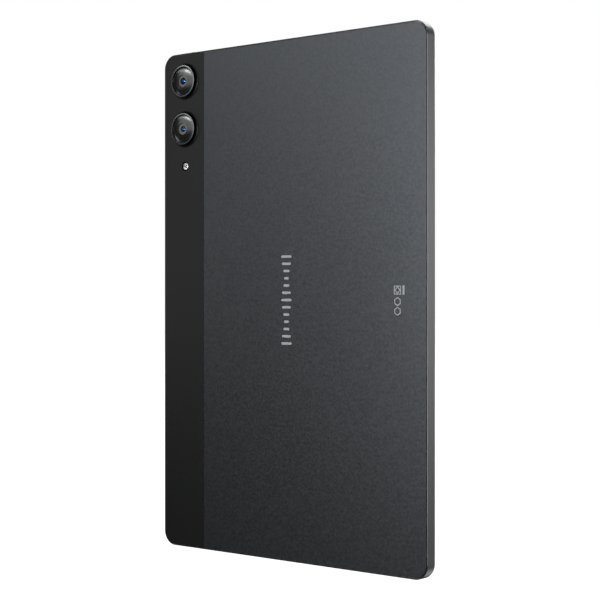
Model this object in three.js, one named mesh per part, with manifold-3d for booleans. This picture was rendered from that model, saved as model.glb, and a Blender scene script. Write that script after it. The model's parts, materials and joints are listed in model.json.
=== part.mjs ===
// Tablet computer, 11-inch class, standing upright in portrait on its lower short edge.
//
// Millimetres, +Z up. The screen faces -Y and the back cover faces +Y. The camera strip runs
// down the +X long side. The origin is at the middle of the bottom edge, half way through the
// thickness of the housing.

import * as THREE from 'three';
import { mergeVertices } from 'three/addons/utils/BufferGeometryUtils.js';
import Module from 'manifold-3d';

const wasm = await Module();
wasm.setup();

// ---- Driving dimensions ---------------------------------------------------------------------

// Outer size of the housing, seen from the front.
const width = 168.5;
const height = 257;
const cornerRadius = 7.2;

// Where each layer lies through the thickness, along Y, from the screen to the back.
const glassFront = -3.6;
const glassBack = -2.9;
const frameFront = -3.1;
const glassLedge = -2.8;
const panelLayer = [-2.85, -2.25];
const backlightLayer = [-2.2, -1.4];
const plateLayer = [-1.3, -0.9];
const cellLayer = [-0.8, 2.4];
const boardLayer = [-0.5, 0.3];
const shieldLayer = [0.4, 1.9];
const coverLedge = 2.6;
const coverInside = 2.7;
const backFace = 3.6;

// Edges of the side frame: a polished chamfer at the back, a rounded edge at the front.
const backChamfer = 0.35;
const frontRounding = 1.1;

// How far in from the outer outline each part of the housing lies.
const coverPocketInset = 0.45;
const coverInset = 0.65;
const cavityInset = 2.6;
const glassPocketInset = 1.3;
const trimInset = 1.4;
const trimInnerInset = 1.9;
const glassInset = 2.0;
const displayPocketInset = 7.5;
const panelInset = 8.2;

// The camera strip, and what stands in it. Places are measured in from the +X edge and the top.
const stripWidth = 28.5;
const seamWidth = 0.1;
const cameraInset = 15.2;
const mainCameraDrop = 14.6;
const cameraSpacing = 24.9;
const flashDrop = 58.85;

// Each camera bump, from its flange inwards: radii, and depths along Y.
const stripHoleRadius = 8.1;
const collarRadius = 7.75;
const ringBaseRadius = 9.6;
const ringRadius = 8.15;
const ringInnerRadius = 7.6;
const ringTop = 5.7;
const coneRadius = 7.4;
const coneValleyRadius = 6.7;
const coneFaceRadius = 5.8;
const coneHoleRadius = 3.2;
const coneBottom = 3.0;
const windowRadius = 3.0;
const windowLayer = [4.8, 5.3];
const moduleTop = 2.5;
const boreBottom = 0.2;
const snoutRadius = 2.8;
const snoutTop = 4.45;
const flashRadius = 1.7;
const flashHoleRadius = 1.85;
const flashLayer = [2.3, 3.5];

// Everything in the side walls is centred on this depth.
const sideCentre = 0.8;
const usbOpening = [9.3, 3.5];
const usbShell = [8.94, 3.16];
const usbInside = [8.34, 2.56];
const speakerHoleRadius = 0.65;
const speakerHoleSpacing = 2.2;
const speakerHoleCount = 7;

// Keys and card tray: length, width, and how far each key stands proud of the wall.
const keyWidth = 2.0;
const keyProud = 0.45;
const keyClearance = 0.2;
const keyFlangeWidth = 3;
const keyFlangeOverlap = 1;
const powerLength = 11;
const rockerLength = 22;
const trayLength = 20;

// Inner parts whose shape is a block or starts as one: [from, to] along X, Y and Z.
const driverBoardPlace = [[-58, 58], [-1.25, -0.95], [238, 248.5]];
const driverWindow = { z: 242.75, spanX: 118, spanZ: 12.5, radius: 2 };
const graphitePlace = [[-34, 50], [2.05, 2.25], [207, 233]];
const batteryBoardPlace = [[-62, 40], [-0.8, 0.4], [197.5, 203.5]];
const batteryColumns = { left: [-79, -15], right: [-12, 53] };
const batteryMiddle = 117;
const batteryLength = 158;
const usbBoardPlace = [[-31, 31], boardLayer, [5.2, 31]];
const usbNotch = [[-4.7, 4.7], [-1, 1], [4, 7.7]];
const antennaPlace = [[62, 79], [2.3, 2.5], [60, 118]];
const sideKeyFlexPlace = [[78.8, 79.15], [0.35, 1.5], [198, 228]];
const shieldCans = {
  processor: [[-7, 14], [210, 228]],
  memory: [[17, 36], [210, 229]],
  radio: [[-32, -12], [210, 229]],
};
const chips = [
  [[-4, 10], [213, 227]],
  [[20, 32], [215, 226]],
  [[-28, -16], [214, 226]],
];

// ---- Derived places -------------------------------------------------------------------------

const rightWall = width / 2;
const cameraX = rightWall - cameraInset;
const mainCameraZ = height - mainCameraDrop;
const secondCameraZ = mainCameraZ - cameraSpacing;
const flashZ = height - flashDrop;
const cameras = {
  main: { z: mainCameraZ, moduleSide: 11, boreRadius: 3.6, pupilRadius: 2.05 },
  second: { z: secondCameraZ, moduleSide: 8.5, boreRadius: 2.6, pupilRadius: 1.4 },
};
const seamX = rightWall - stripWidth;
const innerWallX = rightWall - cavityInset;
const innerWallTop = height - cavityInset;
const powerX = cameraX;
const rockerZ = 218;
const trayZ = 160;
const frontCamera = { x: 79.4, z: height / 2, side: 4.2, gap: 0.15, noseRadius: 1.6 };
const microphoneX = 16;

// Four speakers: the middle of each grille along X, the wall it looks through, and its box.
const speakers = [
  { name: 'lower_left', x: -55, wall: 'bottom', box: [-74, -36, 3.3, 30] },
  { name: 'lower_right', x: 55, wall: 'bottom', box: [36, 74, 3.3, 30] },
  { name: 'upper_left', x: -60, wall: 'top', box: [-79, -41, 214, 253.7] },
  { name: 'upper_right', x: 44, wall: 'top', box: [27, 61, 237, 253.7] },
];

// Board screws: four bosses under the main board's band, two under its leg, two at the port.
const screwPlaces = [
  [-37, 208], [-37, 232], [8, 232], [53, 232],
  [59, 144], [62, 203], [-27, 26], [27, 26],
];
const bossRadius = 1.5;
const bossBore = 0.65;
const bossBoreBottom = -0.7;
const bossTop = 0.2;
const screwHeadRadius = 2.1;
const screwShankRadius = 0.5;

// ---- Colours and finishes -------------------------------------------------------------------

const finishes = {
  frame: { color: 0x6c6e71, roughness: 0.38, metalness: 1 },
  back: { color: 0x48494c, roughness: 0.45, metalness: 1 },
  strip: { color: 0x242527, roughness: 0.6, metalness: 0 },
  trim: { color: 0x101012, roughness: 0.5, metalness: 0 },
  glass: { color: 0x07080a, roughness: 0.05, metalness: 0 },
  window: { color: 0x10131c, roughness: 0.04, metalness: 0 },
  polished: { color: 0x8b8d91, roughness: 0.15, metalness: 1 },
  cone: { color: 0x0d0d0f, roughness: 0.3, metalness: 0.6 },
  panel: { color: 0x14161a, roughness: 0.3, metalness: 0 },
  backlight: { color: 0xd8dadc, roughness: 0.5, metalness: 0 },
  board: { color: 0x12372c, roughness: 0.6, metalness: 0 },
  flex: { color: 0xa86a1e, roughness: 0.5, metalness: 0 },
  steel: { color: 0xb4b6b8, roughness: 0.35, metalness: 1 },
  cell: { color: 0x1d1e20, roughness: 0.5, metalness: 0.2 },
  graphite: { color: 0x2a2b2d, roughness: 0.7, metalness: 0.3 },
  plastic: { color: 0x19191b, roughness: 0.6, metalness: 0 },
  flash: { color: 0xf2efe4, roughness: 0.2, metalness: 0 },
  led: { color: 0xf0d860, roughness: 0.4, metalness: 0 },
  mesh: { color: 0x2c2d2f, roughness: 0.5, metalness: 0.8 },
};

// ---- Shapes and solids ----------------------------------------------------------------------

// A rectangle with round corners, from the middle, the spans and the corner radius.
function roundedRect(centreX, centreY, spanX, spanY, radius) {
  const right = centreX + spanX / 2 - radius;
  const left = centreX - spanX / 2 + radius;
  const top = centreY + spanY / 2 - radius;
  const bottom = centreY - spanY / 2 + radius;
  const shape = new THREE.Shape();
  shape.absarc(right, top, radius, 0, Math.PI / 2, false);
  shape.absarc(left, top, radius, Math.PI / 2, Math.PI, false);
  shape.absarc(left, bottom, radius, Math.PI, Math.PI * 1.5, false);
  shape.absarc(right, bottom, radius, Math.PI * 1.5, Math.PI * 2, false);
  return shape;
}

// A slot shape: a bar with half-round ends.
function stadium(centreX, centreY, spanX, spanY) {
  return roundedRect(centreX, centreY, spanX, spanY, Math.min(spanX, spanY) / 2 - 0.001);
}

// A polygon through a list of [x, y] corners.
function polygon(corners) {
  return new THREE.Shape(corners.map(([x, y]) => new THREE.Vector2(x, y)));
}

// The housing's outline seen from the front, moved in by an inset.
function outline(inset) {
  const radius = Math.max(cornerRadius - inset, 0.6);
  return roundedRect(0, height / 2, width - 2 * inset, height - 2 * inset, radius);
}

// Extrudes an X-Z shape through the thickness, with an optional bevel at both faces.
function plate(shape, [yLow, yHigh], curveSegments = 3, bevel = 0, bevelSegments = 1) {
  const geometry = new THREE.ExtrudeGeometry(shape, {
    depth: yHigh - yLow - 2 * bevel,
    curveSegments,
    bevelEnabled: bevel > 0,
    bevelThickness: bevel,
    bevelSize: bevel,
    bevelOffset: -bevel,
    bevelSegments,
  });
  geometry.rotateX(Math.PI / 2);
  geometry.translate(0, yHigh - bevel, 0);
  return geometry;
}

// Extrudes an X-Y shape upwards.
function prismZ(shape, zLow, zHigh, curveSegments = 2) {
  const depth = zHigh - zLow;
  const geometry = new THREE.ExtrudeGeometry(shape, { depth, curveSegments, bevelEnabled: false });
  geometry.translate(0, 0, zLow);
  return geometry;
}

// Extrudes a Z-Y shape sideways, along X.
function prismX(shape, xLow, xHigh, curveSegments = 2) {
  const depth = xHigh - xLow;
  const geometry = new THREE.ExtrudeGeometry(shape, { depth, curveSegments, bevelEnabled: false });
  geometry.rotateY(-Math.PI / 2);
  geometry.translate(xHigh, 0, 0);
  return geometry;
}

// A box between two corners on each axis.
function block([xLow, xHigh], [yLow, yHigh], [zLow, zHigh]) {
  const geometry = new THREE.BoxGeometry(xHigh - xLow, yHigh - yLow, zHigh - zLow);
  geometry.translate((xLow + xHigh) / 2, (yLow + yHigh) / 2, (zLow + zHigh) / 2);
  return geometry;
}

// A round bar through the thickness.
function discY(radius, x, z, [yLow, yHigh], sides = 16) {
  const geometry = new THREE.CylinderGeometry(radius, radius, yHigh - yLow, sides);
  geometry.translate(x, (yLow + yHigh) / 2, z);
  return geometry;
}

// A round bar along Z, for the small holes in the top and bottom walls.
function discZ(radius, x, y, [zLow, zHigh], sides = 10) {
  const geometry = new THREE.CylinderGeometry(radius, radius, zHigh - zLow, sides);
  geometry.rotateX(Math.PI / 2);
  geometry.translate(x, y, (zLow + zHigh) / 2);
  return geometry;
}

// A turned piece about an axis along Y, from [radius, y] points listed outside upwards.
function turned(points, x, z, sides = 28) {
  const profile = points.map(([radius, y]) => new THREE.Vector2(radius, y));
  const geometry = new THREE.LatheGeometry(profile, sides);
  geometry.translate(x, 0, z);
  return geometry;
}

function toSolid(geometry) {
  const bare = geometry.clone();
  bare.deleteAttribute('normal');
  bare.deleteAttribute('uv');
  const merged = mergeVertices(bare);
  return new wasm.Manifold(new wasm.Mesh({
    numProp: 3,
    vertProperties: new Float32Array(merged.attributes.position.array),
    triVerts: new Uint32Array(merged.index.array),
  }));
}

function toGeometry(solid) {
  const mesh = solid.getMesh();
  const geometry = new THREE.BufferGeometry();
  geometry.setAttribute('position', new THREE.BufferAttribute(mesh.vertProperties, 3));
  geometry.setIndex(new THREE.BufferAttribute(mesh.triVerts, 1));
  geometry.computeVertexNormals();
  return geometry;
}

function cut(body, ...tools) {
  return toGeometry(tools.reduce((solid, tool) => solid.subtract(toSolid(tool)), toSolid(body)));
}

function join(body, ...others) {
  return toGeometry(others.reduce((solid, other) => solid.add(toSolid(other)), toSolid(body)));
}

function common(body, other) {
  return toGeometry(toSolid(body).intersect(toSolid(other)));
}

// ---- Assembly -------------------------------------------------------------------------------

const tablet = new THREE.Group();

function addPart(name, geometry, finish, parent = tablet) {
  const mesh = new THREE.Mesh(geometry, new THREE.MeshStandardMaterial(finishes[finish]));
  mesh.name = name;
  parent.add(mesh);
}

// The places of one speaker's holes along X.
function speakerHoles(centreX) {
  const first = centreX - (speakerHoleSpacing * (speakerHoleCount - 1)) / 2;
  return Array.from({ length: speakerHoleCount }, (_, i) => first + i * speakerHoleSpacing);
}

// ---- Housing --------------------------------------------------------------------------------

// The outer form: one block with the back chamfer, cut by one with the rounded front edge.
function housingBlock() {
  const spare = 10;
  const chamfered = plate(outline(0), [frameFront - spare, backFace], 4, backChamfer);
  const rounded = plate(outline(0), [frameFront, backFace + spare], 4, frontRounding, 3);
  return common(chamfered, rounded);
}

// The pockets milled from the back and from the front, with the mid-plate left between them.
function housingPockets() {
  const spare = 1;
  return [
    plate(outline(coverPocketInset), [coverLedge, backFace + spare], 4),
    plate(outline(cavityInset), [plateLayer[1], coverLedge + spare], 3),
    plate(outline(glassPocketInset), [frameFront - spare, glassLedge], 4),
    plate(outline(displayPocketInset), [frameFront - spare, plateLayer[0]], 1),
  ];
}

// The openings in the four walls and the windows in the mid-plate.
function housingOpenings() {
  const spare = 1;
  const bottomWall = [-spare, cavityInset + spare];
  const topWall = [innerWallTop - spare, height + spare];
  const keyHole = keyWidth + 2 * keyClearance;
  const openings = [
    prismZ(stadium(0, sideCentre, ...usbOpening), ...bottomWall, 3),
    discZ(0.5, microphoneX, sideCentre, bottomWall, 8),
    prismZ(stadium(powerX, sideCentre, powerLength + 2 * keyClearance, keyHole), ...topWall),
  ];
  for (const [z, length] of [[rockerZ, rockerLength], [trayZ, trayLength]]) {
    const shape = stadium(z, sideCentre, length + 2 * keyClearance, keyHole);
    openings.push(prismX(shape, innerWallX - spare, rightWall + spare));
  }
  for (const speaker of speakers) {
    const wall = speaker.wall === 'top' ? topWall : bottomWall;
    for (const x of speakerHoles(speaker.x)) {
      openings.push(discZ(speakerHoleRadius, x, sideCentre, wall));
    }
  }
  const cameraHole = frontCamera.side + 2 * frontCamera.gap;
  const cameraShape = roundedRect(frontCamera.x, frontCamera.z, cameraHole, cameraHole, 0.5);
  openings.push(plate(cameraShape, [frameFront, coverLedge - spare], 1));
  const { z, spanX, spanZ, radius } = driverWindow;
  const throughPlate = [plateLayer[0] - 0.2, plateLayer[1] + 0.2];
  openings.push(plate(roundedRect(0, z, spanX, spanZ, radius), throughPlate, 1));
  return openings;
}

function midFrame() {
  const bosses = screwPlaces.map(([x, z]) => discY(bossRadius, x, z, [plateLayer[0] + 0.1, bossTop]));
  const boreLayer = [bossBoreBottom, bossTop + 1];
  const bores = screwPlaces.map(([x, z]) => discY(bossBore, x, z, boreLayer, 10));
  const shell = cut(housingBlock(), ...housingPockets());
  return cut(join(shell, ...bosses), ...bores, ...housingOpenings());
}

// The half of the back outline on one side of the seam between the strip and the cover.
function backHalf(xLow, xHigh) {
  const spare = 20;
  const whole = plate(outline(coverInset), [coverInside, backFace], 4);
  return common(whole, block([xLow, xHigh], [coverInside - 1, backFace + 1], [-spare, height + spare]));
}

function cameraStrip() {
  const through = [coverInside - 1, backFace + 1];
  return cut(
    backHalf(seamX + seamWidth / 2, rightWall),
    discY(stripHoleRadius, cameraX, mainCameraZ, through, 28),
    discY(stripHoleRadius, cameraX, secondCameraZ, through, 28),
    discY(flashHoleRadius, cameraX, flashZ, through),
  );
}

addPart('mid_frame', midFrame(), 'frame');
addPart('back_cover', backHalf(-rightWall, seamX - seamWidth / 2), 'back');
addPart('camera_strip', cameraStrip(), 'strip');

// ---- Screen ---------------------------------------------------------------------------------

const trimLayer = [-3.35, -2.85];
const panelToBacklight = 0.3;
addPart('front_bezel_trim', cut(
  plate(outline(trimInset), trimLayer),
  plate(outline(trimInnerInset), [trimLayer[0] - 1, trimLayer[1] + 1]),
), 'trim');
addPart('cover_glass', plate(outline(glassInset), [glassFront, glassBack], 3, 0.15), 'glass');
addPart('display_panel', plate(outline(panelInset), panelLayer, 1), 'panel');
addPart('backlight_unit', plate(outline(panelInset - panelToBacklight), backlightLayer, 1), 'backlight');
addPart('display_driver_board', block(...driverBoardPlace), 'board');

// The display's ribbon climbs from the driver board over the edge of the main board.
const displayRibbon = polygon([
  [245, -0.85], [237.2, -0.85], [235.6, 0.45], [228, 0.45],
  [228, 0.35], [235.4, 0.35], [236.9, -0.93], [245, -0.93],
]);
addPart('display_flex', prismX(displayRibbon, -10, 4), 'flex');
addPart('front_camera_module', join(
  block(
    [frontCamera.x - frontCamera.side / 2, frontCamera.x + frontCamera.side / 2],
    [-2.2, 0.6],
    [frontCamera.z - frontCamera.side / 2, frontCamera.z + frontCamera.side / 2],
  ),
  discY(frontCamera.noseRadius, frontCamera.x, frontCamera.z, [-2.8, -2.0]),
), 'plastic');

// ---- Rear cameras and flash -----------------------------------------------------------------

// The ring's flange lies on the strip and its collar drops through the strip's hole.
function cameraRing(z) {
  const flange = [backFace + 0.05, backFace + 0.2];
  return turned([
    [collarRadius, coverLedge], [collarRadius, flange[0]], [ringBaseRadius, flange[0]],
    [ringBaseRadius, flange[0] + 0.08], [ringRadius + 0.1, flange[1] + 0.55],
    [ringRadius, ringTop - 0.1], [ringRadius - 0.1, ringTop], [ringInnerRadius, ringTop],
    [ringInnerRadius - 0.1, ringTop - 0.3], [ringInnerRadius - 0.1, coverLedge],
    [collarRadius, coverLedge],
  ], cameraX, z, 32);
}

// The black turned cone inside the ring: a raised rim, a valley, then a face up to the window.
function cameraCone(z) {
  return turned([
    [coneRadius, coneBottom], [coneRadius, ringTop - 0.3], [coneValleyRadius, ringTop - 0.5],
    [coneFaceRadius, ringTop - 0.35], [coneHoleRadius, ringTop - 0.1],
    [coneHoleRadius, coneBottom], [coneRadius, coneBottom],
  ], cameraX, z, 28);
}

function cameraWindow(z) {
  return turned([
    [0, windowLayer[0]], [windowRadius, windowLayer[0]], [windowRadius, windowLayer[1] - 0.05],
    [windowRadius - 0.1, windowLayer[1]], [0, windowLayer[1]],
  ], cameraX, z, 24);
}

// A square camera module with a round bore for its lens barrel.
function cameraModule(z, side, boreRadius) {
  const box = plate(roundedRect(cameraX, z, side, side, 0.8), [cellLayer[0], moduleTop], 1);
  return cut(box, discY(boreRadius, cameraX, z, [boreBottom, moduleTop + 1], 20));
}

// A lens barrel: a body in the module's bore, and a snout with its front lens under the window.
function lensBarrel(z, bodyRadius, pupilRadius) {
  const bottom = boreBottom + 0.25;
  return turned([
    [0, bottom], [bodyRadius, bottom], [bodyRadius, moduleTop + 0.1], [snoutRadius, moduleTop + 0.2],
    [snoutRadius, snoutTop], [pupilRadius + 0.1, snoutTop], [pupilRadius, snoutTop - 0.4],
    [0, snoutTop - 0.3],
  ], cameraX, z, 20);
}

for (const [name, { z, moduleSide, boreRadius, pupilRadius }] of Object.entries(cameras)) {
  addPart(`${name}_camera_ring`, cameraRing(z), 'polished');
  addPart(`${name}_camera_cone`, cameraCone(z), 'cone');
  addPart(`${name}_camera_window`, cameraWindow(z), 'window');
  addPart(`${name}_camera_module`, cameraModule(z, moduleSide, boreRadius), 'plastic');
  addPart(`${name}_camera_lens_barrel`, lensBarrel(z, boreRadius - 0.3, pupilRadius), 'plastic');
}

const lampHalf = 1.4;
addPart('flash_lens', discY(flashRadius, cameraX, flashZ, flashLayer), 'flash');
addPart('flash_led', block(
  [cameraX - lampHalf, cameraX + lampHalf],
  shieldLayer,
  [flashZ - lampHalf, flashZ + lampHalf],
), 'led');

// ---- Main board -----------------------------------------------------------------------------

// The holes that let a board sit down round the bosses.
function bossHoles(places) {
  return places.map(([x, z]) => discY(bossRadius + 0.2, x, z, [boardLayer[0] - 1, boardLayer[1] + 1]));
}

// An L: a band under the top speakers and a leg beside the battery, under the flash and tray.
const mainBoardOutline = polygon([
  [-40, 205], [56, 205], [56, 140], [80, 140], [80, 206], [58, 206], [58, 235], [-40, 235],
]);
const chipLayer = [boardLayer[1] - 0.1, 1.2];
addPart('main_board', cut(join(
  plate(mainBoardOutline, boardLayer),
  ...chips.map(([spanX, spanZ]) => block(spanX, chipLayer, spanZ)),
), ...bossHoles(screwPlaces.slice(0, 6))), 'board');

// A thin can, open towards the board.
function shieldCan([xLow, xHigh], [zLow, zHigh]) {
  const wall = 0.25;
  const room = block(
    [xLow + wall, xHigh - wall],
    [shieldLayer[0] - 1, shieldLayer[1] - wall],
    [zLow + wall, zHigh - wall],
  );
  return cut(block([xLow, xHigh], shieldLayer, [zLow, zHigh]), room);
}

for (const [name, [spanX, spanZ]] of Object.entries(shieldCans)) {
  addPart(`${name}_shield`, shieldCan(spanX, spanZ), 'steel');
}
addPart('graphite_sheet', block(...graphitePlace), 'graphite');

// ---- Battery --------------------------------------------------------------------------------

for (const [name, [xLow, xHigh]] of Object.entries(batteryColumns)) {
  const shape = roundedRect((xLow + xHigh) / 2, batteryMiddle, xHigh - xLow, batteryLength, 2);
  addPart(`battery_cell_${name}`, plate(shape, cellLayer, 1), 'cell');
}
addPart('battery_board', block(...batteryBoardPlace), 'board');

// ---- Charging port and its board ------------------------------------------------------------

const usbDepth = 7.4;
addPart('usb_board', cut(
  block(...usbBoardPlace),
  block(...usbNotch),
  ...bossHoles(screwPlaces.slice(6)),
), 'board');
addPart('usb_receptacle_shell', cut(
  prismZ(stadium(0, sideCentre, ...usbShell), 0.4, usbDepth, 3),
  prismZ(stadium(0, sideCentre, ...usbInside), -1, usbDepth + 1, 3),
), 'steel');
const tongueHalf = 3.35;
addPart('usb_tongue', join(
  block([-tongueHalf, tongueHalf], [sideCentre - 0.35, sideCentre + 0.35], [1.1, usbDepth - 1]),
  block([-tongueHalf, tongueHalf], [sideCentre - 0.9, sideCentre + 0.9], [usbDepth - 1.9, usbDepth]),
), 'plastic');

// The long ribbon rises from the port's board, lies on the battery and drops to the main board.
const longRibbon = polygon([
  [22, 0.35], [30, 0.35], [37, 2.47], [198, 2.47], [205, 0.35], [209, 0.35],
  [209, 0.45], [205.3, 0.45], [198.3, 2.6], [36.7, 2.6], [29.7, 0.45], [22, 0.45],
]);
addPart('main_flex', prismX(longRibbon, -7, 1), 'flex');
addPart('microphone', block([microphoneX - 1.8, microphoneX + 1.8], [0.4, 1.5], [5.4, 8.2]), 'steel');

// ---- Speakers -------------------------------------------------------------------------------

const grilleSpan = speakerHoleSpacing * speakerHoleCount;
for (const { name, x, wall, box } of speakers) {
  const [xLow, xHigh, zLow, zHigh] = box;
  const shape = roundedRect((xLow + xHigh) / 2, (zLow + zHigh) / 2, xHigh - xLow, zHigh - zLow, 2);
  const meshZ = wall === 'top' ? [innerWallTop - 0.45, innerWallTop - 0.15] : [2.75, 3.05];
  const meshX = [x - grilleSpan / 2, x + grilleSpan / 2];
  addPart(`speaker_box_${name}`, plate(shape, [-0.75, 2.35], 1), 'plastic');
  addPart(`speaker_mesh_${name}`, block(meshX, [-0.6, 2.2], meshZ), 'mesh');
}

// ---- Keys -----------------------------------------------------------------------------------

// A cap that shows in the wall, with a wider flange behind it that keeps it in.
const flangeAbove = innerWallTop - 0.5;
addPart('power_button', join(
  prismZ(stadium(powerX, sideCentre, powerLength, keyWidth), flangeAbove + 0.1, height + keyProud, 3),
  prismZ(
    stadium(powerX, sideCentre, powerLength + 2 * keyFlangeOverlap, keyFlangeWidth),
    flangeAbove,
    flangeAbove + 0.3,
    3,
  ),
), 'frame');
addPart('power_button_switch', block([powerX - 3, powerX + 3], [-0.1, 1.7], [251.4, 253.5]), 'steel');

const flangeX = innerWallX - 0.75;
addPart('volume_rocker', join(
  prismX(stadium(rockerZ, sideCentre, rockerLength, keyWidth), flangeX + 0.2, rightWall + keyProud, 3),
  prismX(
    stadium(rockerZ, sideCentre, rockerLength + 2 * keyFlangeOverlap, keyFlangeWidth),
    flangeX,
    flangeX + 0.3,
    3,
  ),
), 'frame');
addPart('volume_switch', block([79.3, 80.3], [-0.1, 1.7], [rockerZ - 9, rockerZ + 9]), 'steel');
addPart('side_key_flex', block(...sideKeyFlexPlace), 'flex');

// ---- Card tray ------------------------------------------------------------------------------

const trayHalf = 8.6;
const trayTip = 64;
const trayFloor = [0.5, 1.1];
const trayRib = 0.6;
const trayRim = 1.2;
const trayPockets = [
  [trayZ + trayRib, trayZ + trayHalf - 1],
  [trayZ - trayHalf + 1, trayZ - trayRib],
];
addPart('card_tray', cut(
  join(
    prismX(stadium(trayZ, sideCentre, trayLength, keyWidth), 82.4, rightWall - 0.05, 3),
    block([trayTip, 82.5], trayFloor, [trayZ - trayHalf, trayZ + trayHalf]),
  ),
  ...trayPockets.map((spanZ) => block([trayTip + trayRim, 79], [0, 2], spanZ)),
), 'frame');

const socketGap = 0.25;
addPart('card_socket', cut(
  block([62, 80.5], [0.35, 1.9], [trayZ - 10, trayZ + 10]),
  block([63, 82], [0.4, 1.5], [trayZ - trayHalf - socketGap, trayZ + trayHalf + socketGap]),
), 'steel');

// ---- Antenna --------------------------------------------------------------------------------

addPart('wifi_antenna', block(...antennaPlace), 'flex');

const cablePath = new THREE.CatmullRomCurve3([
  new THREE.Vector3(62, 1.4, 112),
  new THREE.Vector3(58, 1.2, 120),
  new THREE.Vector3(58, 1.1, 132),
  new THREE.Vector3(64, 0.95, 142),
  new THREE.Vector3(66, 0.95, 147),
]);
const cableSection = new THREE.Shape();
cableSection.absarc(0, 0, 0.45, 0, Math.PI * 2, false);
addPart('antenna_cable', new THREE.ExtrudeGeometry(cableSection, {
  steps: 16,
  curveSegments: 4,
  extrudePath: cablePath,
}), 'plastic');

// ---- Screws ---------------------------------------------------------------------------------

screwPlaces.forEach(([x, z], index) => {
  addPart(`board_screw_${index + 1}`, turned([
    [0, -0.6], [screwShankRadius, -0.6], [screwShankRadius, 0.4], [screwHeadRadius, 0.4],
    [screwHeadRadius, 0.7], [1.6, 0.95], [0.7, 0.95], [0.5, 0.7], [0, 0.7],
  ], x, z, 12), 'steel');
});

export default tablet;
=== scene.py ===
"""A tablet computer standing in portrait, seen from behind.

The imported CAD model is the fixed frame. Lengths are in millimetres and turn into metres where a
mesh is made; only the floor, the lights and the camera are given in metres. The screen faces -Y,
the back faces +Y and the camera strip is on +X.
"""

import json
import math

import bmesh
import bpy
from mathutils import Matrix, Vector


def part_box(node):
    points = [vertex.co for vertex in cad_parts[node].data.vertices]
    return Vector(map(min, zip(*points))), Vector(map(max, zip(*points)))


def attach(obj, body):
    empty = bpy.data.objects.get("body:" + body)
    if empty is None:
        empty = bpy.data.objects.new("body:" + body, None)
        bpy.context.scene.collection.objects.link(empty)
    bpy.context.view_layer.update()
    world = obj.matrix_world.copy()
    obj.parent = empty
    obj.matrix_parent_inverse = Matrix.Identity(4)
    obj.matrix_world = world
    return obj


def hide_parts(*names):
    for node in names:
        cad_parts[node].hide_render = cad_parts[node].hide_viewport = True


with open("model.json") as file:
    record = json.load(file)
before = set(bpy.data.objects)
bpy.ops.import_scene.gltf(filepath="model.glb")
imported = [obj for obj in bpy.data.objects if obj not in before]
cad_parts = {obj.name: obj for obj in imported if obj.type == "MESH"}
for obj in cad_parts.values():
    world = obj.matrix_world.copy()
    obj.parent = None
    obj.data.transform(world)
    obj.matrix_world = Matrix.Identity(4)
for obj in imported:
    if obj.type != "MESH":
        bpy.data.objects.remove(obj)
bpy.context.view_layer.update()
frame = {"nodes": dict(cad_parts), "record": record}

MM = 0.001

# ---- Sizes from the frame ----------------------------------------------------------------------


def low(node):
    """A node's lowest corner, in millimetres."""
    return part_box(node)[0] / MM


def high(node):
    """A node's highest corner, in millimetres."""
    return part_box(node)[1] / MM


def centre(node):
    """The middle of a node's box, in millimetres."""
    return (low(node) + high(node)) / 2


def half_size(node):
    """Half a node's size along X, which is the radius of a round piece."""
    return (high(node).x - low(node).x) / 2


HALF_WIDTH = high("mid_frame").x
HEIGHT = high("mid_frame").z
MIDDLE = HEIGHT / 2
BACK = high("mid_frame").y
FRAME_FRONT = low("mid_frame").y
COVER_INSIDE = low("back_cover").y
SEAM_LEFT = high("back_cover").x
SEAM_RIGHT = low("camera_strip").x
GLASS_FRONT = low("cover_glass").y
GLASS_BACK = high("cover_glass").y
GLASS_INSET = low("cover_glass").z
SIDE_CENTRE = centre("usb_receptacle_shell").y

# Edges and pockets of the housing. Insets run in from the side walls, the rest is along Y.
CORNER = 7.2
CORNER_STEPS = 20
GUARD = 0.25
SHARPEST_CORNER = 0.4
BACK_CHAMFER = 0.28
FRONT_ROUNDING = 1.1
POCKET_INSET = 0.36
SEAM_WIDTH = 0.42
POCKET_FLOOR = 2.6
CAVITY_INSET = 2.6
GLASS_POCKET_INSET = 1.3
GLASS_LEDGE = -2.8
DISPLAY_POCKET_INSET = 7.5
PLATE_FRONT = -1.3
PLATE_BACK = -0.9

# Openings in the walls and the strip.
KEY_GAP = 0.2
KEY_WIDTH = 2.0
POWER_LENGTH = 11
ROCKER_LENGTH = 22
TRAY_LENGTH = 20
STRIP_HOLE = 8.1
SPEAKER_HOLE = 0.65
SPEAKER_PITCH = 2.2
SPEAKER_COUNT = 7
MICROPHONE_HOLE = 0.5
PORT_GAP_LENGTH = 0.18
PORT_GAP_HEIGHT = 0.17
SPARE = 1.5

BODY = "tablet_body"

# ---- Materials ---------------------------------------------------------------------------------


def srgb(red, green, blue):
    """A colour on the 0 to 255 display scale as the linear colour a shader takes."""
    def linear(value):
        value /= 255
        return value / 12.92 if value <= 0.04045 else ((value + 0.055) / 1.055) ** 2.4
    return (linear(red), linear(green), linear(blue), 1.0)


def scaled(colour, factor):
    return tuple(c * factor for c in colour[:3]) + (1.0,)


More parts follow.
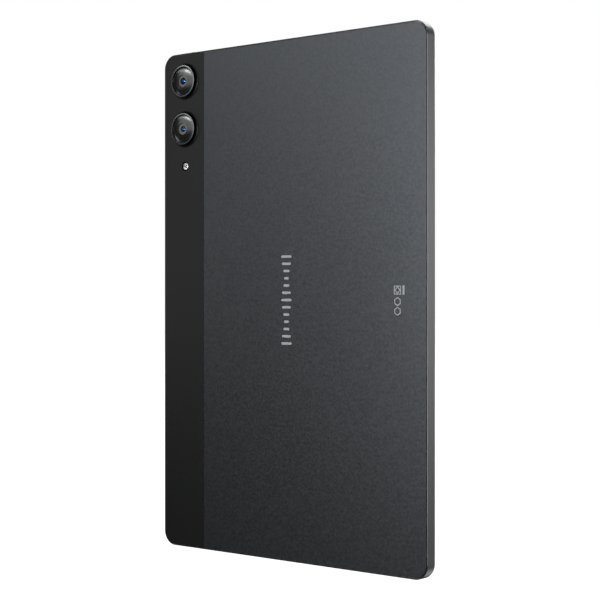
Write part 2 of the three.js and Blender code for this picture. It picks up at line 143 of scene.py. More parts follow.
def surface(name, colour, roughness, metallic=0.0, grain=0.5, shade=0.12, spread=0.05,
            bump=0.0, bump_grain=None, stretch=(1, 1, 1), **sockets):
    """A procedural finish: colour, roughness and height vary with a fine noise.

    grain is the noise's feature size in millimetres, shade how far the colour varies,
    spread how far the roughness varies, and bump the grain's height in millimetres.
    """
    finish = bpy.data.materials.new(name)
    finish.use_nodes = True
    nodes, links = finish.node_tree.nodes, finish.node_tree.links
    shader = nodes["Principled BSDF"]
    shader.inputs["Metallic"].default_value = metallic
    for socket, value in sockets.items():
        shader.inputs[socket.replace("_", " ")].default_value = value
    place = nodes.new("ShaderNodeTexCoord")
    mapping = nodes.new("ShaderNodeMapping")
    mapping.inputs["Scale"].default_value = stretch
    links.new(place.outputs["Object"], mapping.inputs["Vector"])

    noise = nodes.new("ShaderNodeTexNoise")
    noise.inputs["Scale"].default_value = 1 / (grain * MM)
    noise.inputs["Detail"].default_value = 3
    links.new(mapping.outputs["Vector"], noise.inputs["Vector"])

    ramp = nodes.new("ShaderNodeValToRGB")
    ramp.color_ramp.elements[0].position = 0.3
    ramp.color_ramp.elements[1].position = 0.7
    ramp.color_ramp.elements[0].color = scaled(colour, 1 - shade)
    ramp.color_ramp.elements[1].color = scaled(colour, 1 + shade)
    links.new(noise.outputs["Fac"], ramp.inputs["Fac"])
    links.new(ramp.outputs["Color"], shader.inputs["Base Color"])

    span = nodes.new("ShaderNodeMapRange")
    span.inputs["From Min"].default_value = 0.3
    span.inputs["From Max"].default_value = 0.7
    span.inputs["To Min"].default_value = max(roughness - spread, 0.01)
    span.inputs["To Max"].default_value = roughness + spread
    links.new(noise.outputs["Fac"], span.inputs["Value"])
    links.new(span.outputs["Result"], shader.inputs["Roughness"])

    if bump:
        height = nodes.new("ShaderNodeTexNoise")
        height.inputs["Scale"].default_value = 1 / ((bump_grain or grain) * MM)
        height.inputs["Detail"].default_value = 2
        links.new(mapping.outputs["Vector"], height.inputs["Vector"])
        relief = nodes.new("ShaderNodeBump")
        relief.inputs["Strength"].default_value = 1
        relief.inputs["Distance"].default_value = bump * MM
        links.new(height.outputs["Fac"], relief.inputs["Height"])
        links.new(relief.outputs["Normal"], shader.inputs["Normal"])
    return finish


def weave(name, colour, pitch):
    """A fine wire mesh: two crossed waves raise its wires above the holes."""
    wave_period = 0.314
    finish = surface(name, colour, 0.45, metallic=0.9, grain=0.3)
    nodes, links = finish.node_tree.nodes, finish.node_tree.links
    place = nodes.new("ShaderNodeTexCoord")
    waves = []
    for direction in ("X", "Y"):
        wave = nodes.new("ShaderNodeTexWave")
        wave.bands_direction = direction
        wave.inputs["Scale"].default_value = wave_period / (pitch * MM)
        links.new(place.outputs["Object"], wave.inputs["Vector"])
        waves.append(wave)
    both = nodes.new("ShaderNodeMath")
    both.operation = "MAXIMUM"
    links.new(waves[0].outputs["Fac"], both.inputs[0])
    links.new(waves[1].outputs["Fac"], both.inputs[1])
    relief = nodes.new("ShaderNodeBump")
    relief.inputs["Distance"].default_value = 0.04 * MM
    links.new(both.outputs["Value"], relief.inputs["Height"])
    links.new(relief.outputs["Normal"], nodes["Principled BSDF"].inputs["Normal"])
    return finish


def circuit(name, mask, copper):
    """A circuit board: solder mask with lighter copper tracks under it, from a cell pattern."""
    cells_per_metre, track_share = 450, 0.28
    finish = surface(name, mask, 0.4, grain=0.8, Coat_Weight=0.4, Coat_Roughness=0.2)
    nodes, links = finish.node_tree.nodes, finish.node_tree.links
    place = nodes.new("ShaderNodeTexCoord")
    cells = nodes.new("ShaderNodeTexVoronoi")
    cells.distance = "CHEBYCHEV"
    cells.inputs["Scale"].default_value = cells_per_metre
    links.new(place.outputs["Object"], cells.inputs["Vector"])
    tracks = nodes.new("ShaderNodeValToRGB")
    tracks.color_ramp.interpolation = "CONSTANT"
    tracks.color_ramp.elements[0].color = (1, 1, 1, 1)
    tracks.color_ramp.elements[1].color = (0, 0, 0, 1)
    tracks.color_ramp.elements[1].position = track_share
    links.new(cells.outputs["Distance"], tracks.inputs["Fac"])
    mix = nodes.new("ShaderNodeMix")
    mix.data_type = "RGBA"
    mix.inputs["B"].default_value = copper
    shader = nodes["Principled BSDF"]
    base = shader.inputs["Base Color"].links[0].from_socket
    links.new(base, mix.inputs["A"])
    links.new(tracks.outputs["Color"], mix.inputs["Factor"])
    links.new(mix.outputs["Result"], shader.inputs["Base Color"])
    return finish


# Housing, strip and screen.
BACK_METAL = surface("back_metal", (0.094, 0.1, 0.108, 1), 0.36, metallic=1, grain=1.1, shade=0.1,
                     spread=0.03, bump=0.003, bump_grain=0.25)
STRIP_FINISH = surface("strip_finish", (0.0015, 0.0016, 0.0017, 1), 0.42, grain=0.9, shade=0.3,
                       spread=0.07, bump=0.003, bump_grain=0.3, IOR=1.46)
FRAME_METAL = surface("frame_metal", (0.3, 0.304, 0.308, 1), 0.3, metallic=1, grain=0.25,
                      shade=0.03, spread=0.02)
POLISHED_EDGE = surface("polished_edge", srgb(185, 187, 190), 0.2, metallic=1, grain=0.6,
                        shade=0.03, spread=0.04)
TRIM_PLASTIC = surface("trim_plastic", srgb(20, 20, 21), 0.5, grain=0.5)
SCREEN_GLASS = surface("screen_glass", srgb(8, 8, 10), 0.06, grain=40, shade=0.1, spread=0.01,
                       Coat_Weight=1.0, Coat_Roughness=0.02)
SCREEN_OFF = surface("screen_off", srgb(22, 23, 27), 0.1, grain=60, shade=0.1, spread=0.02,
                     Coat_Weight=1.0, Coat_Roughness=0.03)

# Camera bumps and flash.
RING_TOP = surface("ring_top", (0.35, 0.357, 0.364, 1), 0.2, metallic=1, grain=0.3, shade=0.04,
                   spread=0.02)
RING_WALL = surface("ring_wall", (0.003, 0.003, 0.003, 1), 0.35, grain=0.4,
                    Specular_IOR_Level=0.14)
CONE_BLACK = surface("cone_black", (0.155, 0.155, 0.158, 1), 0.14, metallic=1, grain=0.3,
                     shade=0.05, spread=0.02)
CONE_EDGE = surface("cone_edge", (0.17, 0.17, 0.173, 1), 0.17, metallic=1, grain=0.3,
                    shade=0.05, spread=0.02)
LENS_RING = surface("lens_ring", srgb(150, 150, 148), 0.5, grain=0.3, shade=0.05)
# Near-black: the real black of the lens barrels, bores and mask edges, and also painted shade on the
# back plates' side walls, the frame pocket's wall and the tray's eject hole.
BLACK_BORE_AND_PAINTED_SHADE = surface("black_bore_and_painted_shade", (0.0015, 0.0015, 0.0018, 1), 0.5, grain=0.3,
                    Specular_IOR_Level=0.12)
LENS_BLUE = surface("lens_blue", (0.008, 0.36, 0.95, 1), 0.08, metallic=1, grain=1.5, shade=0.1,
                    spread=0.01, Alpha=0.85)
LENS_VIOLET = surface("lens_violet", (0.045, 0.04, 0.2, 1), 0.2, metallic=1, grain=1.5,
                      shade=0.1, spread=0.02)
WINDOW_GLASS = surface("window_glass", srgb(10, 12, 18), 0.05, grain=3, shade=0.1, spread=0.01,
                       Alpha=0.12)
FLASH_GROOVE = surface("flash_groove", srgb(96, 96, 96), 0.3, grain=0.4, shade=0.05)
FLASH_CLEAR = surface("flash_clear", srgb(252, 251, 248), 0.36, metallic=0.8, grain=0.6,
                      shade=0.03, spread=0.05)

# Marks on the back, front camera and the pieces inside.
PRINT = surface("print_silver", srgb(198, 201, 205), 0.4, grain=0.4, shade=0.04)
EYE_LENS = surface("eye_lens", srgb(24, 26, 66), 0.08, grain=0.6, shade=0.2, spread=0.02)
EYE_RING = surface("eye_ring", srgb(2, 2, 3), 0.3, grain=0.5, shade=0.1)
BOARD = circuit("circuit_board", srgb(18, 66, 48), srgb(60, 120, 84))
FLEX = surface("flex_ribbon", srgb(176, 104, 30), 0.35, grain=0.5, stretch=(12, 1, 1))
STEEL = surface("plated_steel", srgb(196, 197, 198), 0.3, metallic=1, grain=0.5,
                stretch=(1, 1, 9), bump=0.002)
DARK_PLASTIC = surface("dark_plastic", srgb(30, 30, 31), 0.55, grain=0.4, bump=0.01)
CELL_WRAP = surface("cell_wrap", srgb(34, 35, 38), 0.35, metallic=0.3, grain=6, shade=0.2,
                    bump=0.05, bump_grain=9)
GRAPHITE = surface("graphite", srgb(52, 53, 55), 0.45, metallic=0.5, grain=0.3, shade=0.25,
                   stretch=(1, 1, 6))
REFLECTOR = surface("reflector", srgb(232, 233, 234), 0.4, grain=1, shade=0.02)
PANEL = surface("panel_back", srgb(26, 28, 32), 0.25, grain=8)
PHOSPHOR = surface("phosphor", srgb(232, 206, 96), 0.6, grain=0.3)
MESH_WIRE = weave("speaker_wire", srgb(70, 71, 73), 0.16)

# ---- Mesh tools --------------------------------------------------------------------------------


def build(name, points, faces, materials, face_slots=None, angle=30):
    """A mesh object from points in millimetres, facing out, smooth except at sharp edges."""
    mesh = bpy.data.meshes.new(name)
    mesh.from_pydata([Vector(p) * MM for p in points], [], faces)
    for finish in materials:
        mesh.materials.append(finish)
    if face_slots:
        mesh.polygons.foreach_set("material_index", face_slots)
    work = bmesh.new()
    work.from_mesh(mesh)
    bmesh.ops.recalc_face_normals(work, faces=work.faces)
    work.to_mesh(mesh)
    work.free()
    obj = bpy.data.objects.new(name, mesh)
    bpy.context.scene.collection.objects.link(obj)
    soften(obj, angle)
    return obj


def soften(obj, angle=30):
    """Shades a piece smooth, but for edges sharper than an angle in degrees."""
    mesh = obj.data
    mesh.polygons.foreach_set("use_smooth", [True] * len(mesh.polygons))
    mesh.set_sharp_from_angle(angle=math.radians(angle))


def quarter(steps):
    """Angles from 0 to 90 degrees in equal steps, for rounded edges."""
    return [math.radians(90 * i / steps) for i in range(steps + 1)]


def corner_arc(centre_x, centre_z, radius, start):
    """A quarter circle from an angle in degrees, with a guard point on the straight each side."""
    points = []
    for step in range(CORNER_STEPS + 1):
        turn = math.radians(start + 90 * step / CORNER_STEPS)
        points.append((centre_x + radius * math.cos(turn), centre_z + radius * math.sin(turn)))
    first, last = math.radians(start), math.radians(start + 90)
    before = (points[0][0] + GUARD * math.sin(first), points[0][1] - GUARD * math.cos(first))
    after = (points[-1][0] - GUARD * math.sin(last), points[-1][1] + GUARD * math.cos(last))
    return [before] + points + [after]


def outline(inset):
    """The housing's outline, seen from the front, moved in by an inset."""
    radius = max(CORNER - inset, SHARPEST_CORNER)
    reach_x = HALF_WIDTH - inset - radius
    reach_z = MIDDLE - inset - radius
    points = []
    for index, (side, up) in enumerate([(1, 1), (-1, 1), (-1, -1), (1, -1)]):
        points += corner_arc(side * reach_x, MIDDLE + up * reach_z, radius, 90 * index)
    return points


def half_outline(inset, seam, side, seam_inset):
    """The outline's part on one side of an upright seam, moved in from the seam by its own inset."""
    edge = seam + side * seam_inset
    kept = [p for p in outline(inset) if (p[0] - edge) * side > 0]
    if side < 0:
        return [(edge, HEIGHT - inset)] + kept + [(edge, inset)]
    first = next(i for i, p in enumerate(kept) if p[1] < MIDDLE)
    return [(edge, inset)] + kept[first:] + kept[:first] + [(edge, HEIGHT - inset)]


def stack(name, loops, heights, materials, level_slots, angle):
    """A capped solid through matching loops of (x, z) points, with a finish for each level."""
    size = len(loops[0])
    points = [(x, y, z) for loop, y in zip(loops, heights) for x, z in loop]
    faces = []
    slots = []
    for level in range(len(loops) - 1):
        for i in range(size):
            a, b = level * size + i, level * size + (i + 1) % size
            faces.append((a, b, b + size, a + size))
            slots.append(level_slots[level])
    faces.append(tuple(range(size)))
    faces.append(tuple(range(len(points) - size, len(points))))
    slots += [level_slots[0], level_slots[-1]]
    return build(name, points, faces, materials, slots, angle)


def loop_ring(name, loops, heights, materials):
    """A ring through matching loops of (x, z) points, the last one joined to the first."""
    size, count = len(loops[0]), len(loops)
    points = [(x, y, z) for loop, y in zip(loops, heights) for x, z in loop]
    faces = []
    for level in range(count):
        after = (level + 1) % count
        for i in range(size):
            j = (i + 1) % size
            faces.append((level * size + i, level * size + j, after * size + j, after * size + i))
    return build(name, points, faces, materials)


def turned(name, profile, x, z, materials, slots=None, steps=96, angle=30):
    """A turned piece about an axis along Y, from a closed (radius, y) profile.

    slots gives the finish of each stretch of the profile, starting at its first point.
    """
    points, rows = [], []
    for radius, y in profile:
        if radius < 1e-6:
            rows.append([len(points)] * steps)
            points.append((x, y, z))
            continue
        rows.append(range(len(points), len(points) + steps))
        for step in range(steps):
            turn = math.tau * step / steps
            points.append((x + radius * math.cos(turn), y, z + radius * math.sin(turn)))
    faces, face_slots = [], []
    for level in range(len(profile)):
        row, after = rows[level], rows[(level + 1) % len(profile)]
        for i in range(steps):
            j = (i + 1) % steps
            corners = list(dict.fromkeys((row[i], row[j], after[j], after[i])))
            if len(corners) > 2:
                faces.append(tuple(corners))
                face_slots.append(slots[level] if slots else 0)
    return build(name, points, faces, materials, face_slots, angle)


def arc(centre_u, centre_v, radius, start, end, steps):
    """Points on a circle between two angles in degrees."""
    turns = [math.radians(start + (end - start) * i / steps) for i in range(steps + 1)]
    return [(centre_u + radius * math.cos(t), centre_v + radius * math.sin(t)) for t in turns]


def stadium(centre_u, centre_v, span_u, span_v, steps=12):
    """A bar with round ends, longer along u than v, or a circle."""
    radius = span_v / 2
    reach = (span_u - span_v) / 2
    right = arc(centre_u + reach, centre_v, radius, -90, 90, steps)
    left = arc(centre_u - reach, centre_v, radius, 90, 270, steps)
    return right + left if reach > 1e-6 else right[:-1] + left[:-1]


ALONG = {
    "x": lambda u, v, t: (t, v, u),
    "y": lambda u, v, t: (u, t, v),
    "z": lambda u, v, t: (u, v, t),
}


def prism(name, loops, levels, axis, materials):
    """A solid through matching loops of (u, v) points, one at each level along an axis."""
    place = ALONG[axis]
    size = len(loops[0])
    points = [place(u, v, t) for loop, t in zip(loops, levels) for u, v in loop]
    faces = [tuple(range(size)), tuple(range(len(points) - size, len(points)))]
    for level in range(len(levels) - 1):
        for i in range(size):
            a, b = level * size + i, level * size + (i + 1) % size
            faces.append((a, b, b + size, a + size))
    return build(name, points, faces, materials)


def carve(obj, cutters, slot=0):
    """Cuts closed meshes out of a piece, gives the cut faces one of its finishes, and tidies up."""
    joined = bpy.data.meshes.new("cutters")
    work = bmesh.new()
    for cutter in cutters:
        work.from_mesh(cutter.data)
    work.to_mesh(joined)
    work.free()
    for finish in obj.data.materials:
        joined.materials.append(finish)
    joined.polygons.foreach_set("material_index", [slot] * len(joined.polygons))
    tool = bpy.data.objects.new("cutters", joined)
    bpy.context.scene.collection.objects.link(tool)
    cut = obj.modifiers.new("cut", "BOOLEAN")
    cut.operation = "DIFFERENCE"
    cut.solver = "EXACT"
    cut.object = tool
    graph = bpy.context.evaluated_depsgraph_get()
    result = bpy.data.meshes.new_from_object(obj.evaluated_get(graph))
    obj.modifiers.clear()
    obj.data = result
    for leftover in [tool] + list(cutters):
        bpy.data.objects.remove(leftover)
    soften(obj)


def keep(obj, body, slot, *nodes):
    """Lets a piece ride on a body and hides the CAD nodes it stands for. The finish name it is given
    is not used.
    """
    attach(obj, body)
    if nodes:
        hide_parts(*nodes)


# ---- Housing -----------------------------------------------------------------------------------


def front_rounding():
    """The frame's rounded front edge, from the front rim to the wall, as (inset, y) points."""
    start = FRAME_FRONT + FRONT_ROUNDING
    return [(FRONT_ROUNDING * (1 - math.cos(t)), start - FRONT_ROUNDING * math.sin(t))
            for t in reversed(quarter(8))]


def wall_cutters():
    """What is cut through the walls: the port, the speaker holes, the keys and the tray."""
    cutters = []
    bottom_wall = (-SPARE, CAVITY_INSET + SPARE)
    top_wall = (HEIGHT - CAVITY_INSET - SPARE, HEIGHT + SPARE)
    side_wall = (HALF_WIDTH - CAVITY_INSET - SPARE, HALF_WIDTH + SPARE)

    def cut_through(middle, length, width, axis, wall, steps=12):
        loop = stadium(middle, SIDE_CENTRE, length, width, steps)
        cutters.append(prism("cutter", [loop, loop], wall, axis, []))

    port = high("usb_receptacle_shell") - low("usb_receptacle_shell")
    cut_through(0, port.x + 2 * PORT_GAP_LENGTH, port.y + 2 * PORT_GAP_HEIGHT, "z", bottom_wall)
    microphone = 2 * MICROPHONE_HOLE
    cut_through(centre("microphone").x, microphone, microphone, "z", bottom_wall, 8)
    speaker = 2 * SPEAKER_HOLE
    for corner in ("lower_left", "lower_right", "upper_left", "upper_right"):
        middle = centre("speaker_mesh_" + corner)
        wall = bottom_wall if middle.z < MIDDLE else top_wall
        for index in range(SPEAKER_COUNT):
            x = middle.x + SPEAKER_PITCH * (index - (SPEAKER_COUNT - 1) / 2)
            cut_through(x, speaker, speaker, "z", wall, 10)
    width = KEY_WIDTH + 2 * KEY_GAP
    cut_through(centre("power_button").x, POWER_LENGTH + 2 * KEY_GAP, width, "z", top_wall)
    cut_through(centre("volume_rocker").z, ROCKER_LENGTH + 2 * KEY_GAP, width, "x", side_wall)
    cut_through(centre("card_tray").z, TRAY_LENGTH + 2 * KEY_GAP, width, "x", side_wall)
    return cutters


def make_frame():
    """The side frame with its ledges, and the mid-plate that closes it."""
    edge, wall_guard = 0.04, 0.1
    profile = [(DISPLAY_POCKET_INSET, PLATE_FRONT), (DISPLAY_POCKET_INSET, GLASS_LEDGE),
               (GLASS_POCKET_INSET, GLASS_LEDGE), (GLASS_POCKET_INSET, FRAME_FRONT)]
    profile += front_rounding()
    profile += [(0, FRAME_FRONT + FRONT_ROUNDING + wall_guard),
                (0, BACK - BACK_CHAMFER - edge), (edge, BACK - BACK_CHAMFER),
                (BACK_CHAMFER, BACK), (POCKET_INSET, BACK), (POCKET_INSET, POCKET_FLOOR),
                (CAVITY_INSET, POCKET_FLOOR), (CAVITY_INSET, PLATE_BACK)]
    slots = [0] * (len(profile) - 1)
    slots[profile.index((edge, BACK - BACK_CHAMFER))] = 1
    # The pocket's wall round the back plates takes the near-black finish: painted shade in the seam.
    slots[profile.index((POCKET_INSET, BACK))] = 2
    loops = [outline(inset) for inset, _ in profile]
    heights = [y for _, y in profile]
    finishes = [FRAME_METAL, POLISHED_EDGE, BLACK_BORE_AND_PAINTED_SHADE]
    side_frame = stack("side_frame", loops, heights, finishes, slots, angle=25)
    carve(side_frame, wall_cutters())
    keep(side_frame, BODY, "frame_metal", "mid_frame")


def plate(name, seam, side, finish):
    """A flat plate on one side of the seam, with a fine rounded edge; its side walls are painted
    near-black as shade in the seam.
    """
    bevel = 0.02
    depths = [COVER_INSIDE, BACK - bevel, BACK - 0.3 * bevel, BACK, BACK]
    insets = [0, 0, 0.3 * bevel, bevel, 3 * bevel]
    outer = POCKET_INSET + SEAM_WIDTH
    loops = [half_outline(outer + i, seam, side, i) for i in insets]
    return stack(name, loops, depths, [finish, BLACK_BORE_AND_PAINTED_SHADE], [1, 0, 0, 0], angle=60)


def make_cover():
    """The metal back cover."""
    cover = plate("back_plate", SEAM_LEFT, -1, BACK_METAL)
    keep(cover, BODY, "back_metal", "back_cover")


def make_strip():
    """The camera strip, with round holes for the bumps and a countersunk one for the flash."""
    gap, sink, sink_floor, sink_rim = 0.15, 0.6, 0.45, 0.05
    strip = plate("strip_plate", SEAM_RIGHT, 1, STRIP_FINISH)
    cutters = []

    def cut_hole(node, radii, levels):
        spot = centre(node)
        loops = [stadium(spot.x, spot.z, 2 * radius, 2 * radius, 24) for radius in radii]
        cutters.append(prism("cutter", loops, levels, "y", []))

    start, end = COVER_INSIDE - SPARE, BACK + SPARE
    for camera in ("main", "second"):
        cut_hole(camera + "_camera_ring", [STRIP_HOLE, STRIP_HOLE], [start, end])
    hole = half_size("flash_lens") + gap
    rim = hole + sink
    cut_hole("flash_lens", [hole, hole, rim, rim], [start, BACK - sink_floor, BACK - sink_rim, end])
    carve(strip, cutters, slot=1)
    keep(strip, BODY, "strip_plastic", "camera_strip")


make_frame()
make_cover()
make_strip()

# ---- Rear cameras ------------------------------------------------------------------------------

RING_TOP_Y = high("main_camera_ring").y
RING_BASE = half_size("main_camera_ring")
RING_OUTER = RING_BASE - 1.45
RING_INNER = 7.6
COLLAR = 7.75
FLARE_REACH = 1.35
FLARE_HEIGHT = 0.8

CONE_OUTER = 7.5
CONE_HOLE = 3.1
CONE_BOTTOM = 3.0
CONE_CREST = 0.03
CONE_LEAN_INSIDE = 4
CONE_LEAN_OUTSIDE = 15
CONE_LEAN_POWER = 2.7
CONE_EDGE_START = 5.8
GROOVE_PITCH = 0.17
GROOVE_DEPTH = 0.0004

PANE_BELOW = 0.04
PANE_ABOVE = 0.15
MASK_THICKNESS = 0.12
SNOUT = 2.9
LENS_CLEARANCE = 0.3


def ring_profile():
    """The ring from its collar out: a black flare and wall, a soft rim and a crown leaning out."""
    top, crown_drop, edge, lift = RING_TOP_Y, 0.03, 0.06, 0.02
    bore_lip, bore_taper = 0.05, 0.8
    flange = [(COLLAR, COVER_INSIDE), (COLLAR, BACK + lift), (RING_BASE, BACK + lift)]
    flare = [(RING_BASE - FLARE_REACH * math.sin(t),
              BACK + 2 * lift + FLARE_HEIGHT * (1 - math.cos(t))) for t in quarter(8)]
    rim = [(RING_OUTER, top - crown_drop - edge), (RING_OUTER - edge, top - crown_drop),
           (RING_INNER + bore_lip, top)]
    bore = [(RING_INNER, top - bore_lip), (RING_INNER - bore_lip, top - bore_taper),
            (RING_INNER - bore_lip, COVER_INSIDE)]
    return flange + flare, rim + bore


def make_ring(kind, x, z):
    """A camera bump's ring: black outside, metal on its crown and in its bore."""
    wall, crown = ring_profile()
    slots = [1] * len(wall) + [0] * len(crown)
    ring = turned(kind + "_ring", wall + crown, x, z, [RING_TOP, RING_WALL], slots, angle=40)
    keep(ring, BODY, "ring_metal", kind + "_camera_ring")


def cone_slope(radius):
    """How far the turned face leans outwards at a radius, in degrees: gentle, then steep."""
    share = (radius - CONE_HOLE) / (CONE_OUTER - CONE_HOLE)
    return CONE_LEAN_INSIDE + (CONE_LEAN_OUTSIDE - CONE_LEAN_INSIDE) * share ** CONE_LEAN_POWER


def cone_profile():
    """The turned face: a shallow dome in fine grooves that falls away faster near the ring."""
    steps = 96
    width = (CONE_OUTER - CONE_HOLE) / steps
    height = RING_TOP_Y - CONE_CREST
    face = [(CONE_HOLE, height)]
    for index in range(steps):
        radius = CONE_HOLE + width * (index + 1)
        height -= width * math.tan(math.radians(cone_slope(radius - width / 2)))
        ripple = GROOVE_DEPTH * math.sin(math.tau * (radius - CONE_HOLE) / GROOVE_PITCH)
        face.append((radius, height + ripple))
    slots = [0 if radius < CONE_EDGE_START else 1 for radius, _ in face]
    return face + [(CONE_OUTER, CONE_BOTTOM), (CONE_HOLE, CONE_BOTTOM)], slots + [0, 0]


def make_cone(kind, x, z):
    """The turned piece round a camera's window."""
    profile, slots = cone_profile()
    cone = turned(kind + "_cone", profile, x, z, [CONE_BLACK, CONE_EDGE], slots, angle=50)
    keep(cone, BODY, "cone_black", kind + "_camera_cone")


def make_window(kind, pupil, x, z):
    """A camera's glass window, and under it a bright mask ring round the pupil.

    Returns the mask's underside, which the lenses stay clear of.
    """
    node = kind + "_camera_window"
    radius, over = half_size(node), high(node).y
    edge = 0.05
    mask_top, pane_top = over - PANE_BELOW, over + PANE_ABOVE
    pane = [(0, mask_top), (radius, mask_top), (radius, pane_top - edge),
            (radius - edge, pane_top), (0, pane_top)]
    window = turned(kind + "_window", pane, x, z, [WINDOW_GLASS], steps=72)
    keep(window, BODY, "camera_glass", node)
    mask_bottom, gap, bevel = mask_top - MASK_THICKNESS, 0.01, 0.06
    mask = [(pupil, mask_bottom), (radius, mask_bottom), (radius, mask_top - gap),
            (pupil + bevel, mask_top - gap), (pupil, mask_top - bevel)]
    washer = turned(kind + "_mask", mask, x, z, [LENS_RING, BLACK_BORE_AND_PAINTED_SHADE], [1, 1, 0, 0, 1], steps=72)
    keep(washer, BODY, "camera_glass")
    return mask_bottom


def cap_profile(radius, rim, crown, bottom):
    """A lens surface: a spherical crown over a flat seat, as (radius, y) points."""
    steps = 14
    rise = crown - rim
    sphere = (radius ** 2 + rise ** 2) / (2 * rise)
    curve = []
    for step in range(steps + 1):
        out = radius * step / steps
        reach = math.copysign(math.sqrt(sphere ** 2 - out ** 2), sphere)
        curve.append((out, crown - sphere + reach))
    return curve + [(radius, bottom), (0, bottom)]


def make_barrel(kind, pupil, foot_radius, carrier, x, z):
    """A camera's black lens barrel: a wide foot, a snout and a bowl behind the pupil."""
    node = kind + "_camera_lens_barrel"
    edge, gap, bowl_margin, bowl_depth = 0.06, 0.35, 0.35, 1.0
    bottom, shoulder = low(node).y, high(kind + "_camera_module").y + 0.1
    top = low(kind + "_camera_window").y - gap
    bowl, seat = pupil + bowl_margin, top - bowl_depth
    shell = [(0, bottom), (foot_radius, bottom), (foot_radius, shoulder), (SNOUT, shoulder),
             (SNOUT, top - edge), (SNOUT - edge, top), (bowl, top), (bowl, seat), (0, seat)]
    barrel = turned(kind + "_lens_barrel", shell, x, z, [BLACK_BORE_AND_PAINTED_SHADE], steps=72)
    keep(barrel, carrier, "dark_plastic", node)


def make_lenses(kind, pupil, mask_bottom, carrier, x, z):
    """A small domed blue lens close behind the mask, and a hollow violet one round it."""
    front_radius, curve, edge = 0.62 * pupil, 1.1 * pupil, 0.02
    rise = curve - math.sqrt(curve ** 2 - front_radius ** 2)
    rim = mask_bottom - LENS_CLEARANCE - rise
    front = cap_profile(front_radius, rim, rim + rise, rim - edge)
    lens = turned(kind + "_front_lens", front, x, z, [LENS_BLUE], steps=72, angle=60)
    keep(lens, carrier, "camera_glass")
    rear_radius, hollow, spacing, thickness = 0.98 * pupil, 0.25 * pupil, 0.05, 0.1
    rear_rim = rim - spacing
    rear_crown = rear_rim - hollow
    rear = cap_profile(rear_radius, rear_rim, rear_crown, rear_crown - thickness)
    rear_lens = turned(kind + "_rear_lens", rear, x, z, [LENS_VIOLET], steps=72, angle=60)
    keep(rear_lens, carrier, "camera_glass")


def make_camera(kind, pupil, foot_radius, carrier):
    """One camera bump. Its barrel and lenses ride on the carrier, the rest on the body."""
    spot = centre(kind + "_camera_ring")
    make_ring(kind, spot.x, spot.z)
    make_cone(kind, spot.x, spot.z)
    mask_bottom = make_window(kind, pupil, spot.x, spot.z)
    make_barrel(kind, pupil, foot_radius, carrier, spot.x, spot.z)
    make_lenses(kind, pupil, mask_bottom, carrier, spot.x, spot.z)


make_camera("main", 1.9, 3.3, "focus_barrel")
make_camera("second", 1.6, 2.3, BODY)

# ---- Flash -------------------------------------------------------------------------------------

# The directions of its grooves in degrees, as seen from behind.
FLASH_SPOKES = (170, 35, 308)
FLASH_STEPS = 96
FLASH_RINGS = 14
FLASH_SINK = 0.15
FLASH_DOME = 0.15
FLASH_RIPPLE = 0.03
FLASH_RIPPLES = 4
FLASH_LEAN = 5
GROOVE_HALF_WIDTH = 0.34
GROOVE_CUT = 0.22


def spoke_distance(turn, out):
    """How far a point is from the nearest of the flash's three grooves, along its circle."""
    spokes = [math.radians(180 - a) for a in FLASH_SPOKES]
    return out * min(abs(math.remainder(turn - s, math.tau)) for s in spokes)


def flash_height(turn, share, radius):
    """The flash's face, measured from its CAD top: a dome with grooves, rings and a lean."""
    groove = GROOVE_CUT * max(0.0, 1 - spoke_distance(turn, share * radius) / GROOVE_HALF_WIDTH)
    fresnel = FLASH_RIPPLE * math.sin(share * math.tau * FLASH_RIPPLES)
    lean = math.tan(math.radians(FLASH_LEAN)) * radius * share * math.sin(turn)
    return fresnel - FLASH_SINK - FLASH_DOME * share ** 2 - groove - lean


def make_flash():
    """A clear round lens cut by three V grooves into lobes, with fine rings round its middle."""
    node = "flash_lens"
    spot, radius = centre(node), half_size(node)
    base, top = low(node).y, high(node).y
    steps, dark_share = FLASH_STEPS, 0.75
    turns = [math.tau * step / steps for step in range(steps)]

    def circle(out, heights):
        return [(spot.x + out * math.cos(t), y, spot.z + out * math.sin(t))
                for t, y in zip(turns, heights)]

    points = [(spot.x, top - FLASH_SINK - GROOVE_CUT, spot.z)]
    for ring in range(1, FLASH_RINGS + 1):
        share = ring / FLASH_RINGS
        points += circle(radius * share, [top + flash_height(t, share, radius) for t in turns])
    points += circle(radius, [base] * steps)

    faces = [(0, 1 + i, 1 + (i + 1) % steps) for i in range(steps)]
    slots = [1] * steps
    for ring in range(FLASH_RINGS):
        out = radius * (ring + 1.5) / FLASH_RINGS
        for i in range(steps):
            a, b = 1 + ring * steps + i, 1 + ring * steps + (i + 1) % steps
            faces.append((a, b, b + steps, a + steps))
            distance = spoke_distance(math.tau * (i + 0.5) / steps, out)
            in_groove = distance < dark_share * GROOVE_HALF_WIDTH
            slots.append(1 if in_groove or ring == FLASH_RINGS - 1 else 0)
    faces.append(tuple(range(len(points) - steps, len(points))))
    slots.append(1)
    lens = build("flash_cap", points, faces, [FLASH_CLEAR, FLASH_GROOVE], slots, angle=50)
    keep(lens, BODY, "flash_lens", node)


make_flash()

# ---- Marks on the back -------------------------------------------------------------------------

PRINT_BELOW = BACK - 0.02
PRINT_ABOVE = BACK + 0.02
PRINT_STROKE = 0.42
MARK_INSET = 16.9


def slab(name, loop):
    """A thin printed shape on the back face, from a loop of (x, z) points."""
    piece = prism(name, [loop, loop], [PRINT_BELOW, PRINT_ABOVE], "y", [PRINT])
    keep(piece, BODY, "ring_metal")


